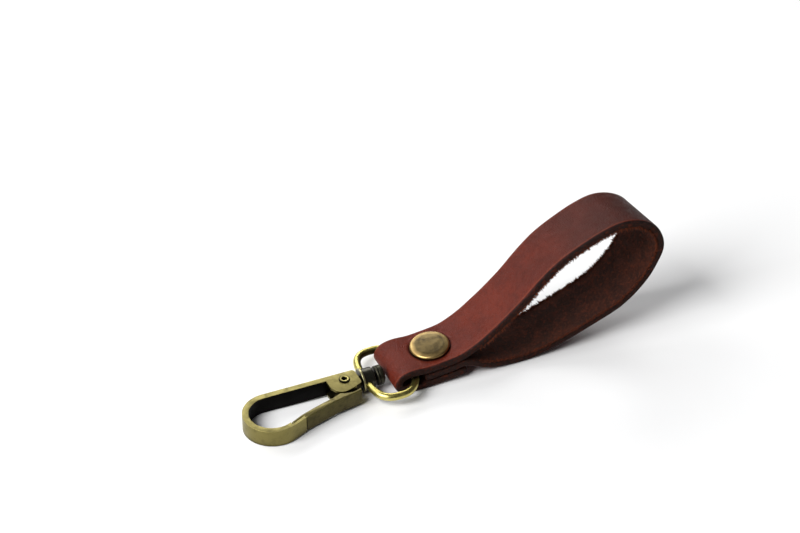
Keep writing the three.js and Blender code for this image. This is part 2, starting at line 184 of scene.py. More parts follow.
def smoothstep(low, high, value):
    share = np.clip((value - low) / (high - low), 0, 1)
    return share * share * (3 - 2 * share)


FILLET_STEP = math.radians(11)


def filleted(corners, closed=True):
    """Corners given as (x, y, radius), each turned into an arc of that radius."""
    points = []
    for i, (x, y, radius) in enumerate(corners):
        here = Vector((x, y))
        if radius == 0 or (not closed and i in (0, len(corners) - 1)):
            points.append(here)
            continue
        back = (Vector(corners[i - 1][:2]) - here).normalized()
        ahead = (Vector(corners[(i + 1) % len(corners)][:2]) - here).normalized()
        half = math.acos(max(-1, min(1, back.dot(ahead)))) / 2
        centre = here + (back + ahead).normalized() * (radius / math.sin(half))
        start = here + back * (radius / math.tan(half)) - centre
        end = here + ahead * (radius / math.tan(half)) - centre
        first = math.atan2(start.y, start.x)
        sweep = (math.atan2(end.y, end.x) - first + math.pi) % math.tau - math.pi
        steps = max(2, round(abs(sweep) / FILLET_STEP))
        for k in range(steps + 1):
            angle = first + sweep * k / steps
            points.append(centre + radius * Vector((math.cos(angle), math.sin(angle))))
    return points


def arc(centre, radius, first_deg, last_deg, steps):
    angles = np.radians(np.linspace(first_deg, last_deg, steps + 1))
    return [centre + radius * Vector((math.cos(a), math.sin(a))) for a in angles]


def raw_mesh(name, points, faces):
    mesh = bpy.data.meshes.new(name)
    mesh.from_pydata([tuple(p) for p in points], [], faces)
    mesh.validate()
    return mesh


def facing_out(mesh):
    bm = bmesh.new()
    bm.from_mesh(mesh)
    bmesh.ops.recalc_face_normals(bm, faces=bm.faces)
    bm.to_mesh(mesh)
    bm.free()


def add_object(name, mesh):
    piece = bpy.data.objects.new(name, mesh)
    bpy.context.scene.collection.objects.link(piece)
    return piece


def smooth(mesh, sharp_deg):
    mesh.shade_smooth()
    mesh.set_sharp_from_angle(angle=math.radians(sharp_deg))


def baked(piece):
    """The mesh that a piece's modifiers give."""
    bpy.context.view_layer.update()
    evaluated = piece.evaluated_get(bpy.context.evaluated_depsgraph_get())
    mesh = bpy.data.meshes.new_from_object(evaluated)
    piece.modifiers.clear()
    piece.data = mesh
    return piece


def boolean(piece, other, operation):
    modifier = piece.modifiers.new(operation.lower(), "BOOLEAN")
    modifier.operation = operation
    modifier.solver = "EXACT"
    modifier.object = other
    baked(piece)
    bpy.data.objects.remove(other)
    return piece


def prism(name, outline, low, high):
    count = len(outline)
    points = [(p.x, p.y, z) for z in (low, high) for p in outline]
    faces = [list(range(count))[::-1], list(range(count, 2 * count))]
    faces += [(i, (i + 1) % count, count + (i + 1) % count, count + i) for i in range(count)]
    mesh = raw_mesh(name, points, faces)
    facing_out(mesh)
    return add_object(name, mesh)


def lathe_mesh(name, profile, segments, closed=False):
    """A profile of (radius, height) turned about Z."""
    points = []
    rings = []
    for radius, height in profile:
        if radius < 1e-6:
            rings.append([len(points)] * segments)
            points.append((0, 0, height))
            continue
        rings.append(list(range(len(points), len(points) + segments)))
        angles = [math.tau * i / segments for i in range(segments)]
        points += [(radius * math.cos(a), radius * math.sin(a), height) for a in angles]
    pairs = list(zip(rings, rings[1:] + rings[:1])) if closed else list(zip(rings, rings[1:]))
    faces = []
    for one, other in pairs:
        for i in range(segments):
            k = (i + 1) % segments
            corners = dict.fromkeys((one[i], one[k], other[k], other[i]))
            if len(corners) > 2:
                faces.append(tuple(corners))
    mesh = raw_mesh(name, points, faces)
    facing_out(mesh)
    return mesh


ALONG_X = Matrix.Rotation(math.pi / 2, 4, "Y")


def tube_mesh(name, centres, radius, sides):
    """A round tube along a list of points, with closed ends."""
    count = len(centres)
    points = []
    side = None
    for i, here in enumerate(centres):
        before = centres[max(0, i - 1)]
        after = centres[min(count - 1, i + 1)]
        along = (after - before).normalized()
        side = Vector((0, 0, 1)) if side is None else side
        side = (side - along * side.dot(along)).normalized()
        other = along.cross(side)
        for k in range(sides):
            angle = math.tau * k / sides
            points.append(here + radius * (math.cos(angle) * side + math.sin(angle) * other))
    faces = []
    for i in range(count - 1):
        for k in range(sides):
            a, b = i * sides, (i + 1) * sides
            faces.append((a + k, a + (k + 1) % sides, b + (k + 1) % sides, b + k))
    faces.append(tuple(range(sides))[::-1])
    faces.append(tuple(range((count - 1) * sides, count * sides)))
    mesh = raw_mesh(name, points, faces)
    facing_out(mesh)
    return mesh


def set_attribute(mesh, name, values, domain="POINT"):
    attribute = mesh.attributes.new(name, "FLOAT", domain)
    attribute.data.foreach_set("value", np.asarray(values, np.float32))


def coordinates(mesh):
    flat = np.zeros(len(mesh.vertices) * 3, np.float32)
    mesh.vertices.foreach_get("co", flat)
    return flat.reshape(-1, 3).astype(float)


def vertex_normals(mesh):
    flat = np.zeros(len(mesh.vertices) * 3, np.float32)
    mesh.vertex_normals.foreach_get("vector", flat)
    return flat.reshape(-1, 3).astype(float)


def finish_piece(piece, place, material, body, slot, *nodes):
    """Moves a piece from its own frame into the model's, and ties it to its body."""
    piece.data.transform(place)
    piece.data.update()
    if material is not None:
        piece.data.materials.clear()
        piece.data.materials.append(material)
    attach(piece, body)
    if nodes:
        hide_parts(*nodes)
    return piece


def place_mesh(mesh, *where):
    return finish_piece(add_object(mesh.name, mesh), *where)


# ---------------------------------------------------------------- material helpers


def srgb(red, green, blue):
    """A colour given as 0 to 255 display values, made linear."""
    shares = [value / 255 for value in (red, green, blue)]
    return (*[s / 12.92 if s < 0.04045 else ((s + 0.055) / 1.055) ** 2.4 for s in shares], 1)


class Nodes:
    """Short names for adding and joining shader nodes."""

    def __init__(self, name):
        self.material = bpy.data.materials.new(name)
        self.material.use_nodes = True
        self.tree = self.material.node_tree
        self.shader = self.tree.nodes["Principled BSDF"]

    def add(self, kind, inputs=None, **settings):
        node = self.tree.nodes.new("ShaderNode" + kind)
        for key, value in settings.items():
            setattr(node, key, value)
        for key, value in (inputs or {}).items():
            self.put(node.inputs[key], value)
        return node

    def put(self, socket, value):
        if isinstance(value, bpy.types.NodeSocket):
            self.tree.links.new(value, socket)
        else:
            socket.default_value = value

    def math(self, operation, a, b, clamp=False):
        return self.add("Math", {0: a, 1: b}, operation=operation, use_clamp=clamp).outputs[0]

    def plus(self, a, b):
        return self.math("ADD", a, b)

    def times(self, a, b):
        return self.math("MULTIPLY", a, b)

    def ramp(self, value, low, high, to_low=0.0, to_high=1.0):
        inputs = {"Value": value, "From Min": low, "From Max": high, "To Min": to_low, "To Max": to_high}
        return self.add("MapRange", inputs, interpolation_type="SMOOTHSTEP").outputs[0]

    def mix(self, share, one, other):
        node = self.add("Mix", data_type="RGBA")
        self.put(node.inputs["Factor"], share)
        self.put(node.inputs["A"], one)
        self.put(node.inputs["B"], other)
        return node.outputs["Result"]

    def noise(self, vector, scale, detail, roughness):
        inputs = {"Vector": vector, "Scale": scale, "Detail": detail, "Roughness": roughness}
        return self.add("TexNoise", inputs).outputs["Fac"]

    def voronoi(self, vector, scale, feature):
        node = self.add("TexVoronoi", {"Vector": vector, "Scale": scale}, feature=feature)
        return node.outputs["Distance"]

    def attribute(self, name):
        return self.add("Attribute", attribute_name=name).outputs["Fac"]

    def scaled(self, vector, factors):
        return self.add("VectorMath", {0: vector, 1: factors}, operation="MULTIPLY").outputs[0]

    def object_coordinates(self):
        """Object coordinates in millimetres."""
        return self.scaled(self.add("TexCoord").outputs["Object"], (1000, 1000, 1000))

    def strip_coordinates(self):
        """Along and across the leather strip, in millimetres."""
        return self.scaled(self.add("UVMap", uv_map=STRIP_UV).outputs["UV"], (100, 100, 0))

    def coordinates(self):
        """Those of the strip and those of the object."""
        return self.strip_coordinates(), self.object_coordinates()

    def bump(self, height, strength, distance):
        inputs = {"Height": height, "Strength": strength, "Distance": distance}
        return self.add("Bump", inputs).outputs["Normal"]

    def set(self, **inputs):
        for key, value in inputs.items():
            self.put(self.shader.inputs[key.replace("_", " ")], value)
        return self.material


STRIP_UV = "strip_mm"

# ---------------------------------------------------------------- leather materials


def grain_material():
    """Waxed red-brown leather: cloudy tone, fine pores and creases, darker burnished rims, a thin painted
    highlight along the grain's rounded corners and painted shade round the rivet.
    """
    n = Nodes("leather_grain")
    strip, solid = n.coordinates()
    cloud = n.noise(solid, 0.09, 3, 0.6)
    mottle = n.noise(solid, 0.55, 5, 0.62)
    pores = n.voronoi(strip, 2.3, "F1")
    cells = n.voronoi(n.scaled(strip, (1.0, 1.3, 1)), 1.45, "DISTANCE_TO_EDGE")
    fine = n.noise(strip, 5.5, 4, 0.7)
    crease = n.noise(n.scaled(strip, (1.9, 0.35, 1)), 1.0, 4, 0.65)
    far = n.attribute("far")
    red = n.mix(n.ramp(cloud, 0.35, 0.65), srgb(98, 31, 14), srgb(85, 26, 12))
    dull = n.mix(n.ramp(cloud, 0.35, 0.65), srgb(72, 26, 15), srgb(59, 22, 13))
    # Duller and darker towards the loop's far end.
    tone = n.mix(far, red, dull)
    tone = n.mix(n.ramp(mottle, 0.42, 0.72, 0, 0.45), tone, srgb(66, 25, 19))
    tone = n.mix(n.ramp(fine, 0.5, 0.8, 0, 0.3), tone, srgb(118, 50, 32))
    tone = n.mix(n.ramp(cells, 0.0, 0.09, 0.4, 0), tone, srgb(44, 18, 14))
    rim = n.attribute("rim")
    # A thin painted highlight where the grain side rounds over its corners.
    line = n.times(n.ramp(rim, 0.02, 0.2), n.ramp(rim, 0.3, 0.65, 0.4, 0))
    tone = n.mix(line, tone, srgb(122, 56, 36))
    # Darker dyed and burnished rims, with painted contact shade round the rivet.
    dye_and_contact_shade = n.math("MAXIMUM", n.ramp(rim, 0.35, 1.0), n.attribute("contact_shade"))
    tone = n.mix(n.times(dye_and_contact_shade, n.ramp(mottle, 0.3, 0.6, 0.6, 1.0)), tone, srgb(26, 14, 11))
    relief = n.plus(n.ramp(cells, 0, 0.22, 0, 0.6), n.times(fine, 0.5))
    relief = n.plus(relief, n.times(pores, 0.35))
    relief = n.plus(relief, n.times(crease, 1.1))
    rough = n.ramp(n.plus(n.times(mottle, 0.6), n.times(fine, 0.4)), 0.35, 0.65, 0.40, 0.58)
    normal = n.bump(relief, 0.8, 0.00014)
    return n.set(Base_Color=tone, Roughness=rough, Normal=normal, Specular_IOR_Level=0.16)


def edge_material():
    """Cut edge: nearly black dressing over layered fibres."""
    n = Nodes("leather_edge")
    strip, solid = n.coordinates()
    layers = n.noise(n.scaled(strip, (0.7, 5.0, 1)), 1.0, 5, 0.7)
    patches = n.noise(solid, 0.8, 4, 0.6)
    fibres = n.noise(n.scaled(strip, (3, 9, 1)), 1.0, 3, 0.7)
    tone = n.mix(n.ramp(layers, 0.42, 0.68), srgb(24, 13, 9), srgb(62, 28, 17))
    tone = n.mix(n.ramp(patches, 0.5, 0.72, 0, 0.7), tone, srgb(88, 38, 22))
    height = n.plus(layers, n.times(fibres, 0.6))
    normal = n.bump(height, 0.8, 0.0002)
    return n.set(Base_Color=tone, Roughness=n.ramp(patches, 0.3, 0.7, 0.7, 0.95), Normal=normal,
                 Specular_IOR_Level=0.15)


def flesh_material():
    """Flesh side: dark brown suede with matted orange-brown fibres."""
    n = Nodes("leather_flesh")
    strip, solid = n.coordinates()
    warp = n.add("TexNoise", {"Vector": solid, "Scale": 0.5, "Detail": 3.0}).outputs["Color"]
    warping = {0: warp, 1: (2.2, 2.2, 2.2), 2: solid}
    bent = n.add("VectorMath", warping, operation="MULTIPLY_ADD").outputs[0]
    clumps = n.noise(bent, 0.9, 6, 0.7)
    patches = n.noise(solid, 0.28, 3, 0.6)
    fibres = n.noise(n.scaled(bent, (1, 2.5, 1)), 3.0, 5, 0.75)
    hairs = n.noise(n.scaled(strip, (2.2, 6.0, 1)), 1.0, 5, 0.75)
    low = n.mix(n.ramp(patches, 0.4, 0.62), srgb(40, 17, 11), srgb(60, 25, 14))
    tone = n.mix(n.ramp(clumps, 0.48, 0.7, 0, 0.8), low, srgb(100, 42, 20))
    tone = n.mix(n.ramp(fibres, 0.54, 0.74, 0, 0.6), tone, srgb(128, 62, 30))
    tone = n.mix(n.ramp(hairs, 0.58, 0.4, 0, 0.35), tone, srgb(30, 16, 11))
    height = n.plus(n.times(clumps, 1.2), n.plus(fibres, n.times(hairs, 0.6)))
    normal = n.bump(height, 0.9, 0.0004)
    return n.set(Base_Color=tone, Roughness=0.95, Normal=normal, Sheen_Weight=0.1,
                 Sheen_Roughness=0.5, Sheen_Tint=srgb(170, 100, 60), Specular_IOR_Level=0.25)


def fuzz_material():
    n = Nodes("leather_fuzz")
    shade = n.attribute("shade")
    tone = n.mix(shade, srgb(36, 17, 11), srgb(104, 48, 24))
    return n.set(Base_Color=tone, Roughness=0.85, Specular_IOR_Level=0.2)


# ---------------------------------------------------------------- metal materials


def metal_material(name, bright, patina, shade_colour, cover, roughness, grain=1.0, crest_highlight=None):
    """Antique plating: bright metal under a cloudy patina worn thin on edges, with painted shade in
    recesses, inner faces and undersides, and a painted highlight along edges.
    """
    n = Nodes(name)
    solid = n.object_coordinates()
    cloud = n.noise(solid, 0.35, 4, 0.6)
    smudge = n.noise(solid, 1.3, 5, 0.65)
    specks = n.noise(solid, 6.0, 3, 0.7)
    brush = n.noise(n.scaled(solid, (1.2, 7.0, 7.0)), 1.0, 4, 0.6)
    painted_shade = n.attribute("painted_shade")
    edge = n.attribute("edge")
    # Painted shade: an ambient occlusion node, with a mask from the mesh, darkens towards a near-black shade
    # colour.
    occlusion = n.add("AmbientOcclusion", {"Distance": 0.0018}, samples=8).outputs["AO"]
    occlusion_shade = n.ramp(occlusion, 0.35, 0.95, 1, 0)
    patches = n.plus(n.times(cloud, 0.6), n.times(smudge, 0.4))
    film = n.ramp(patches, 0.75 - 0.5 * cover, 1.05 - 0.5 * cover, 0.0, 0.9)
    # The patina is worn thin along the edges.
    film = n.times(film, n.ramp(edge, 0, 1, 1, 0.15))
    tone = n.mix(film, bright, patina)
    tone = n.mix(n.ramp(specks, 0.55, 0.75, 0, 0.25), tone, patina)
    # Painted highlight: a light crest colour along the edges.
    tone = n.mix(n.times(edge, 0.65), tone, crest_highlight or bright)
    tone = n.mix(n.math("MAXIMUM", painted_shade, n.times(occlusion_shade, 0.75)), tone, shade_colour)
    rough = n.plus(roughness, n.ramp(patches, 0.35, 0.7, -0.06, 0.14))
    rough = n.math("ADD", rough, n.times(painted_shade, 0.15), clamp=True)
    height = n.plus(n.times(smudge, 0.3), n.times(brush, 0.35))
    height = n.plus(height, n.times(specks, 0.2))
    normal = n.bump(height, 0.35 * grain, 0.00006)
    return n.set(Base_Color=tone, Metallic=1.0, Roughness=rough, Normal=normal)


# Arguments: name, bright metal, patina, painted shade colour, patina cover, roughness, bump strength and
# painted highlight colour.
def eye_material():
    return metal_material("eye_brass", srgb(190, 178, 100), srgb(140, 130, 74), srgb(26, 24, 18), 0.35, 0.32,
                          0.4, srgb(226, 216, 140))


def hook_material():
    return metal_material("hook_brass", srgb(126, 117, 70), srgb(94, 88, 54), srgb(14, 13, 12), 0.5, 0.4,
                          0.5, srgb(196, 184, 112))


def gate_material():
    return metal_material("gate_brass", srgb(100, 92, 54), srgb(68, 62, 42), srgb(16, 15, 14), 0.6, 0.4,
                          0.6, srgb(150, 140, 84))


def rivet_material():
    return metal_material("rivet_brass", srgb(92, 78, 48), srgb(58, 50, 38), srgb(18, 15, 12), 0.62, 0.38,
                          1.0, srgb(200, 168, 108))


def dark_material():
    return metal_material("dark_metal", srgb(84, 82, 72), srgb(48, 48, 45), srgb(10, 11, 11), 0.7, 0.36,
                          0.6, srgb(206, 198, 146))


def spring_material():
    return metal_material("spring_steel", srgb(150, 150, 148), srgb(92, 92, 92), srgb(30, 30, 30), 0.4, 0.28)


# ---------------------------------------------------------------- leather strap


def grain_controls():
    """The strip's grain side as in the model: a straight lead-in, a spline's points and a straight end."""
    middle = STRAP_THICKNESS + LAYER_GAP
    tucked_end = EYE_APEX_X + 0.95
    cap_rear = RIVET_X + 5
    foot = STACK + stack_lift(cap_rear)

    def fold(along, up):
        return Vector((along * FOLD_TOP, up * FOLD_TOP))

    def loop(share, up):
        return Vector((cap_rear + share * (LOOP_LENGTH - cap_rear), foot + up * (LOOP_HEIGHT - foot)))

    def low(share, up):
        return Vector((loop(share, 0).x, up * LOOP_HEIGHT))

    lead = [
        Vector((FLAP_LENGTH, stack_lift(FLAP_LENGTH))),
        Vector((FOLD_FLAT_END, 0)),
        Vector((0.634 * FOLD_TOP, 0)),
    ]
    curve = [
        lead[-1],
        *[fold(*p) for p in ((0.293, 0.067), (0.073, 0.232), (0, 0.44), (0.055, 0.66), (0.232, 0.866),
                             (0.512, 0.97), (0.854, 1))],
        Vector((FOLD_FLAT_END + 1, STACK + 0.25)),
        Vector((RIVET_X, STACK + stack_lift(RIVET_X) + 0.05)),
        Vector((cap_rear, foot + 0.25)),
        *[loop(*p) for p in (
            (0.051, 0.045), (0.112, 0.111), (0.163, 0.184), (0.223, 0.275), (0.313, 0.431), (0.386, 0.582),
            (0.461, 0.718), (0.528, 0.807), (0.624, 0.902), (0.698, 0.960), (0.788, 1), (0.877, 0.969),
            (0.955, 0.870), (0.995, 0.719), (1, 0.589), (0.979, 0.474), (0.936, 0.320), (0.883, 0.195),
            (0.832, 0.106))],
        *[low(*p) for p in (
            (0.773, 0.229), (0.684, 0.169), (0.580, 0.105), (0.491, 0.055), (0.416, 0.020), (0.344, 0.002),
            (0.268, 0.002), (0.193, 0.014))],
        Vector((FLAP_LENGTH + 5.5, middle - 1)),
        Vector((FLAP_LENGTH + 2.4, middle + 0.6)),
        Vector((FLAP_LENGTH - 0.6, middle + stack_lift(FLAP_LENGTH - 1) + 0.3)),
        Vector((RIVET_X + 4, middle + stack_lift(RIVET_X + 4))),
    ]
    end = Vector((tucked_end, middle + stack_lift(tucked_end)))
    return lead, curve, end


def catmull_rom(points, steps):
    """A uniform Catmull-Rom spline through the points."""
    last = len(points) - 1
    result = []
    for i in range(last):
        p0, p1 = points[max(0, i - 1)], points[i]
        p2, p3 = points[i + 1], points[min(last, i + 2)]
        for k in range(steps):
            t = k / steps
            v0, v1 = (p2 - p0) / 2, (p3 - p1) / 2
            result.append((2 * p1 - 2 * p2 + v0 + v1) * t ** 3
                          + (-3 * p1 + 3 * p2 - 2 * v0 - v1) * t ** 2 + v0 * t + p1)
    return result + [points[-1]]


def strip_line():
    """Evenly spaced points along the grain side, with the model's kinks eased."""
    lead, curve, end = grain_controls()
    rough = np.array([tuple(p) for p in [*lead[:-1], *catmull_rom(curve, 20), end]])
    lengths = np.concatenate([[0], np.cumsum(np.linalg.norm(np.diff(rough, axis=0), axis=1))])
    stations = np.linspace(0, lengths[-1], round(lengths[-1] / STATION_SPACING) + 1)
    line = np.stack([np.interp(stations, lengths, rough[:, k]) for k in (0, 1)], axis=1)
    for _ in range(6):
        line[1:-1] = line[1:-1] / 2 + (line[:-2] + line[2:]) / 4
    return stations, line


def quarter_round(steps):
    """Insets of a rounded corner's inner points from its two sides, as shares of its radius."""
    angles = [math.pi / 2 * k / steps for k in range(1, steps)]
    return [(1 - math.sin(a), 1 - math.cos(a)) for a in angles]


def strap_section():
    """Once round the strip: place across it, depth under the grain side, and zone of each point."""
    half, thick = STRAP_WIDTH / 2, STRAP_THICKNESS
    top, under = quarter_round(5), quarter_round(3)
    face = np.linspace(half - TOP_CORNER, -half + TOP_CORNER, 31)
    flesh = np.linspace(-half + FLESH_CORNER, half - FLESH_CORNER, 27)
    edge = np.linspace(TOP_CORNER, thick - FLESH_CORNER, 6)
    points = [(a, 0.0, "grain") for a in face]
    points += [(-half + TOP_CORNER * a, TOP_CORNER * b, "grain") for a, b in top]
    points += [(-half, d, "edge") for d in edge]
    points += [(-half + FLESH_CORNER * b, thick - FLESH_CORNER * a, "edge") for a, b in under]
    points += [(a, thick, "flesh") for a in flesh]
    points += [(half - FLESH_CORNER * a, thick - FLESH_CORNER * b, "edge") for a, b in under]
    points += [(half, d, "edge") for d in edge[::-1]]
    points += [(half - TOP_CORNER * b, TOP_CORNER * a, "grain") for a, b in top]
    return points


def skewed(x, y):
    return x - smoothstep(SKEW_START, LOOP_LENGTH, x) * FAR_END_SKEW * y / STRAP_WIDTH


def seated(points, grain):
    """Presses the leather down under the rivet's cap and lets the base sink into the flap, and gives a mask
    of painted shade on the leather round the cap's rim and round the base.
    """
    relative = points - np.array(rivet_foot)
    height = relative @ np.array(rivet_up)
    radial = np.linalg.norm(relative - height[:, None] * np.array(rivet_up), axis=1)
    cap_floor = STACK - CAP_SINK + SEAT - 0.06
    near_cap = 1 - smoothstep(CAP_RADIUS - 0.1, CAP_RADIUS + 2.3, radial)
    top = grain & (height > STACK - 1.2) & (height < STACK + 2.5)
    pressed = np.where(top, np.minimum(height, cap_floor + (1 - near_cap) * 5), height)
    lowered = np.where(top, height + (pressed - height) * near_cap ** 0.5, height)
    base_floor = BASE_SINK + 0.03
    in_base = 1 - smoothstep(BASE_RADIUS + 0.1, BASE_RADIUS + 0.75, radial)
    below = grain & (height < 0.8)
    lowered = np.where(below & (in_base > 0), np.maximum(lowered, base_floor * in_base), lowered)
    # Painted contact shade on the leather round the cap's rim and round the base.
    shade = np.where(top, 1 - smoothstep(CAP_RADIUS - 0.2, CAP_RADIUS + 0.9, radial), 0)
    shade = np.where(below, np.maximum(shade, 1 - smoothstep(BASE_RADIUS, BASE_RADIUS + 0.9, radial)), shade)
    return points + (lowered - height)[:, None] * np.array(rivet_up), shade


def leather_strap(materials):
    stations, line = strip_line()
    section = strap_section()
    count, ring = len(stations), len(section)
    along = np.gradient(line, axis=0)
    along /= np.linalg.norm(along, axis=1)[:, None]
    inward = np.stack([along[:, 1], -along[:, 0]], axis=1)
    across = np.array([p[0] for p in section])
    depth = np.array([p[1] for p in section])
    zone = np.array([p[2] for p in section])
    ends = np.minimum(np.arange(count), np.arange(count)[::-1])
    shrink = 0.28 * np.clip(1 - ends / 2, 0, 1) ** 1.5

    points = np.zeros((count, ring, 3))
    for i in range(count):
        middle = STRAP_THICKNESS / 2
        y = np.sign(across) * np.maximum(np.abs(across) - shrink[i], 0)
        d = middle + (depth - middle) * (1 - shrink[i] / middle)
        points[i, :, 0] = line[i, 0] + inward[i, 0] * d
        points[i, :, 1] = y
        points[i, :, 2] = line[i, 1] + inward[i, 1] * d

    rough = np.zeros((count, ring, 3))
    for i in range(count):
        for k in range(ring):
            if zone[k] == "grain":
                continue
            where = Vector(points[i, k])
            big = noise.noise(where * 0.7)
            small = noise.noise(where * 2.6 + Vector((9, 4, 2)))
            if zone[k] == "edge":
                rough[i, k, 1] = (0.10 * big + 0.07 * small) * (1 if across[k] > 0 else -1)
            else:
                lift = 0.06 * big + 0.07 * small
                rough[i, k, 0] = inward[i, 0] * lift
                rough[i, k, 2] = inward[i, 1] * lift
    free = smoothstep(FLAP_LENGTH, FLAP_LENGTH + 4, line[:, 0])
    points += rough * (0.35 + 0.65 * free)[:, None, None]

    flat = points.reshape(-1, 3)
    grain = np.tile(zone != "flesh", count) & (np.tile(depth, count) < 1.2)
    flat, contact_shade = seated(flat, grain)
    wave = np.array([noise.noise(Vector((s * 0.045, 3.7, 0))) for s in stations])
    flat[:, 1] += np.repeat(0.22 * wave * free, ring)
    flat[:, 0] = skewed(flat[:, 0], flat[:, 1])
    flat[:, 2] = np.maximum(flat[:, 2], 0.0)

    faces = []
    kinds = []
    kind_of = {"grain": 0, "edge": 1, "flesh": 2}
    for i in range(count - 1):
        for k in range(ring):
            m = (k + 1) % ring
            faces.append((i * ring + k, i * ring + m, (i + 1) * ring + m, (i + 1) * ring + k))
            pair = {zone[k], zone[m]}
            kinds.append(kind_of["edge"] if "edge" in pair else kind_of[zone[k]])
    faces += [tuple(range(ring))[::-1], tuple(range((count - 1) * ring, count * ring))]
    kinds += [kind_of["edge"]] * 2

    mesh = raw_mesh("leather_strap_skin", flat, faces)
    girth = np.concatenate([[0], np.cumsum(np.hypot(np.diff(across), np.diff(depth)))])
    strip = mesh.uv_layers.new(name=STRIP_UV)
    uv = np.zeros((len(mesh.loops), 2), np.float32)
    for polygon in mesh.polygons:
        for loop in polygon.loop_indices:
            vertex = mesh.loops[loop].vertex_index
            i, k = divmod(vertex, ring)
            around = girth[k]
            if k == 0 and polygon.index < len(faces) - 2 and polygon.index % ring == ring - 1:
                around = girth[-1] + 0.4
            uv[loop] = stations[i] / 100, around / 100
    strip.data.foreach_set("uv", uv.ravel())

    # The rim mask gives darker burnished rims and a thin painted highlight. The mask from seated() is
    # painted shade round the rivet.
    border = STRAP_WIDTH / 2 - np.abs(across)
    rim = np.where(zone == "grain", 1 - smoothstep(0.05, 1.0, border), 1)
    set_attribute(mesh, "rim", np.tile(rim, count))
    set_attribute(mesh, "contact_shade", contact_shade * 0.85)
    far = smoothstep(RIVET_X + 22, LOOP_LENGTH - 14, line[:, 0])
    set_attribute(mesh, "far", np.repeat(far, ring))
    for material in materials:
        mesh.materials.append(material)
    mesh.polygons.foreach_set("material_index", np.array(kinds, np.int32))
    facing_out(mesh)
    mesh.shade_smooth()
    place_mesh(mesh, strap_frame, None, "strap", "leather", "leather_strap")
    return stations, line, inward


def strands(name, roots, aims, widths, shades, material):
    """Closed, tapered and bent fibres, three sides each, all in one mesh."""
    points, faces, tones = [], [], []
    rng = random.Random(41)
    for root, aim, width, shade in zip(roots, aims, widths, shades):
        length = aim.length
        along = aim / length
        side = along.cross(Vector((rng.uniform(-1, 1), rng.uniform(-1, 1), rng.uniform(-1, 1)))).normalized()
        other = along.cross(side)
        bend = length * rng.uniform(-0.35, 0.35)
        first = len(points)
        for share, thin in ((0, 1), (0.4, 0.8), (0.75, 0.45)):
            centre = root + aim * share + other * bend * share ** 2
            for k in range(3):
                angle = math.tau * k / 3
                spoke = side * math.cos(angle) + other * math.sin(angle)
                points.append(centre + spoke * width / 2 * thin)
                tones.append(min(1, shade * (0.75 + 0.5 * share)))
        points.append(root + aim + other * bend)
        tones.append(min(1, shade * 1.3))
        faces.append((first + 2, first + 1, first))
        for low in (first, first + 3):
            for k in range(3):
                m = (k + 1) % 3
                faces.append((low + k, low + m, low + 3 + m, low + 3 + k))
        for k in range(3):
            faces.append((first + 6 + k, first + 6 + (k + 1) % 3, first + 9))
    mesh = raw_mesh(name, points, faces)
    set_attribute(mesh, "shade", tones)
    mesh.shade_smooth()
    return place_mesh(mesh, strap_frame, material, "strap", "leather")


def leather_fuzz(stations, line, inward, material):
    """Loose fibres along the loop's inner corners and over its flesh side."""
    rng = random.Random(7)
    half = STRAP_WIDTH / 2
    free = [i for i in range(len(stations)) if line[i, 0] > FLAP_LENGTH + 3 and line[i, 0] > RIVET_X + 7]
    roots, aims, widths, shades = [], [], [], []

    def fibre(i, across, depth, aim, width):
        x = line[i, 0] + inward[i, 0] * depth
        z = line[i, 1] + inward[i, 1] * depth
        roots.append(Vector((float(skewed(x, across)), across, z)))
        aims.append(aim)
        widths.append(width)
        shades.append(rng.uniform(0.15, 1.0))

    def heading(i, inwards, sideways, lengthwise):
        """A direction at a station, from its parts through, across and along the strap."""
        return (Vector((inward[i, 0], 0, inward[i, 1])) * inwards + Vector((0, sideways, 0))
                + Vector((-inward[i, 1], 0, inward[i, 0])) * lengthwise).normalized()

    for side in (-1, 1):
        for i in free:
            clump = 0.5 + 0.5 * noise.noise(Vector((stations[i] * 0.9, side * 5, 1)))
            for _ in range(2 + (rng.random() < clump)):
                length = rng.uniform(0.35, 0.95) + 5.0 * max(0, clump - 0.42) * rng.random() ** 2
                aim = heading(i, rng.uniform(0.5, 1.0), side * rng.uniform(-0.2, 0.8),
                              rng.uniform(-0.6, 0.6)) * length
                across = side * (half - rng.uniform(0.02, 0.5))
                fibre(i, across, STRAP_THICKNESS - rng.uniform(0.05, 0.3), aim, rng.uniform(0.2, 0.46))
            for _ in range(2):
                aim = heading(i, rng.uniform(0.7, 1.0), side * rng.uniform(0.1, 0.7),
                              rng.uniform(-0.5, 0.5)) * rng.uniform(0.5, 1.3)
                across = side * (half - rng.uniform(0.1, 0.5))
                fibre(i, across, STRAP_THICKNESS - rng.uniform(0.05, 0.25), aim, rng.uniform(0.3, 0.6))
            if rng.random() < 0.5:
                aim = heading(i, rng.uniform(-0.5, 0.7), side, rng.uniform(-0.8, 0.8))
                aim = aim * rng.uniform(0.12, 0.35)
                across = side * (half - 0.06)
                fibre(i, across, rng.uniform(0.9, STRAP_THICKNESS - 0.2), aim, rng.uniform(0.07, 0.13))
    for _ in range(SURFACE_FIBRES):
        i = rng.choice(free)
        aim = heading(i, rng.uniform(0.15, 0.55), rng.uniform(-1, 1), rng.uniform(-1, 1))
        aim = aim * rng.uniform(0.35, 1.0)
        fibre(i, rng.uniform(-half + 0.3, half - 0.3), STRAP_THICKNESS - 0.04, aim, rng.uniform(0.05, 0.1))
    return strands("leather_fuzz", roots, aims, widths, shades, material)


# ---------------------------------------------------------------- metal pieces


def shade_metal(mesh, painted_shade=None, edge=None):
    """Writes the masks that the metal materials read: painted shade, and edges that are worn and carry a
    painted highlight.
    """
    count = len(mesh.vertices)
    set_attribute(mesh, "painted_shade", np.zeros(count) if painted_shade is None else painted_shade)
    set_attribute(mesh, "edge", np.zeros(count) if edge is None else edge)


